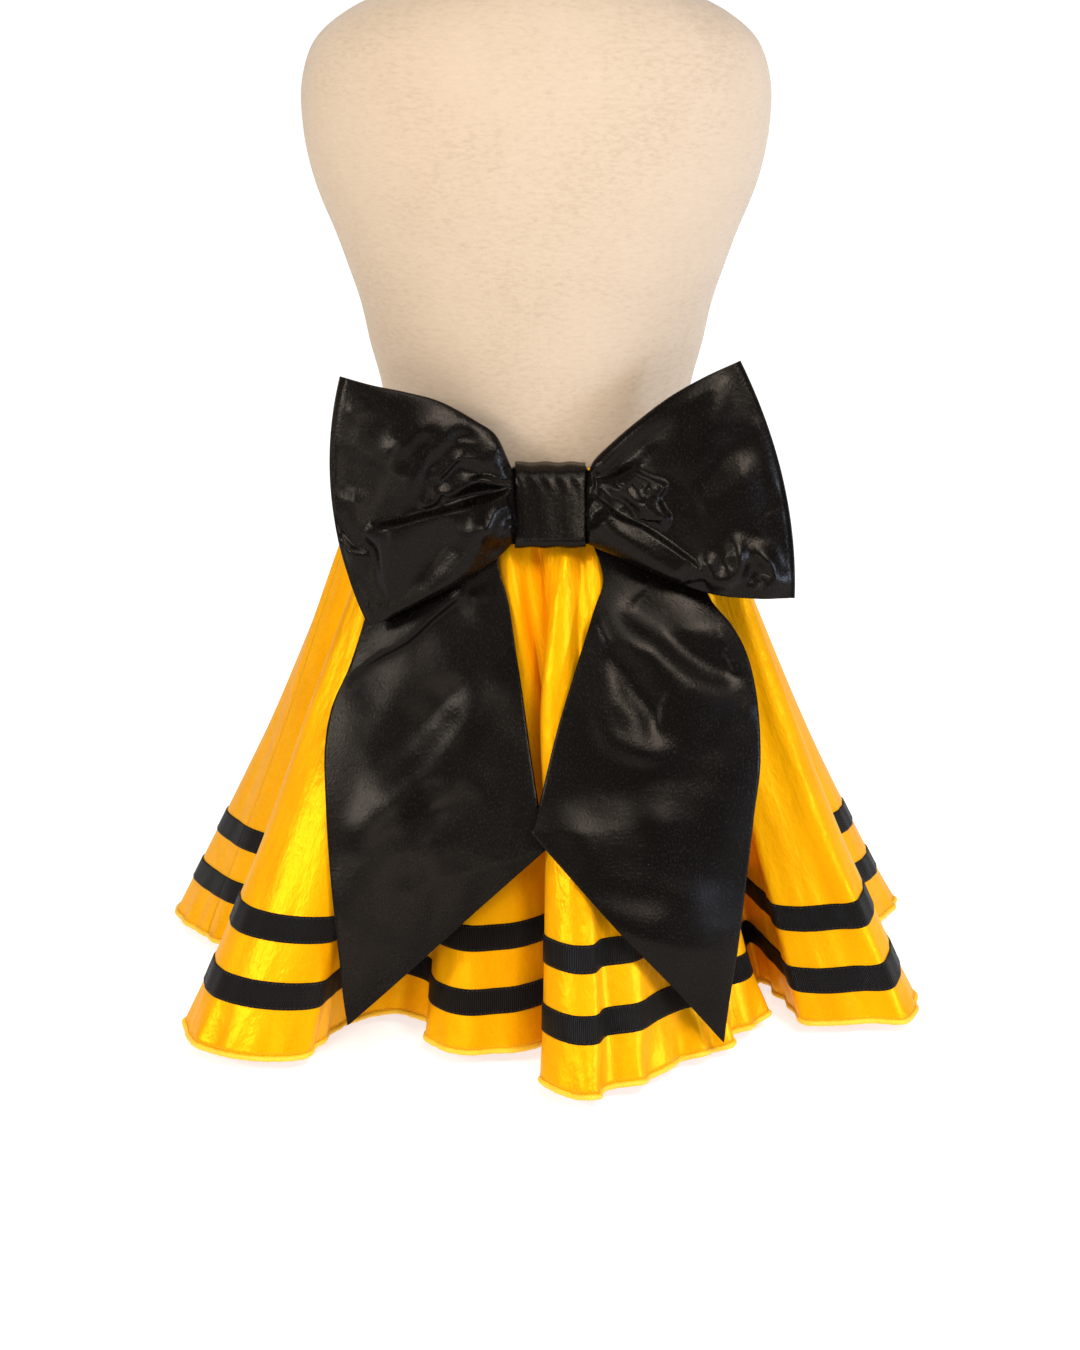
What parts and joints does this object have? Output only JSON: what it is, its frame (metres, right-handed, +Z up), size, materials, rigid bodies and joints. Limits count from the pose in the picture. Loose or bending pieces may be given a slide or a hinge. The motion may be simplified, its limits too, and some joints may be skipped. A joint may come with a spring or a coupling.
{
  "type": "ruffled skirt on a limbless dress form",
  "caption": "Short flared satin skirt with deep folds, ribbon bands above a rolled hem and a big pinched bow at the back waist, on a plain dress form.",
  "frame": {"origin": "centre of the bounding box's footprint, on the surface that the stand rests on", "axes": "+Z up; -Y faces the garment's back, where the bow is; +X to the right when looking at the bow"},
  "size_m": [0.6434, 0.6252, 0.8903],
  "materials": {
    "yellow_satin": "glossy polyester satin, warm yellow",
    "black_satin": "black satin with a soft brown and blue sheen",
    "black_grosgrain": "black grosgrain ribbon, fine cross ribs",
    "form_jersey": "cream cotton jersey, matt",
    "stand_paint": "satin off-white paint"
  },
  "bodies": {
    "root": {"form_torso": "form_jersey", "form_neck_cap": "stand_paint", "form_post": "stand_paint", "form_base": "stand_paint", "waistband": "yellow_satin", "skirt_back_panel": "yellow_satin", "skirt_front_panel": "yellow_satin", "ribbon_upper_back": "black_grosgrain", "ribbon_lower_back": "black_grosgrain", "ribbon_upper_front": "black_grosgrain", "ribbon_lower_front": "black_grosgrain", "bow_knot": "black_satin", "bow_wing_left": "black_satin", "bow_wing_right": "black_satin", "bow_tail_left": "black_satin", "bow_tail_right": "black_satin"}
  },
  "joints": []
}
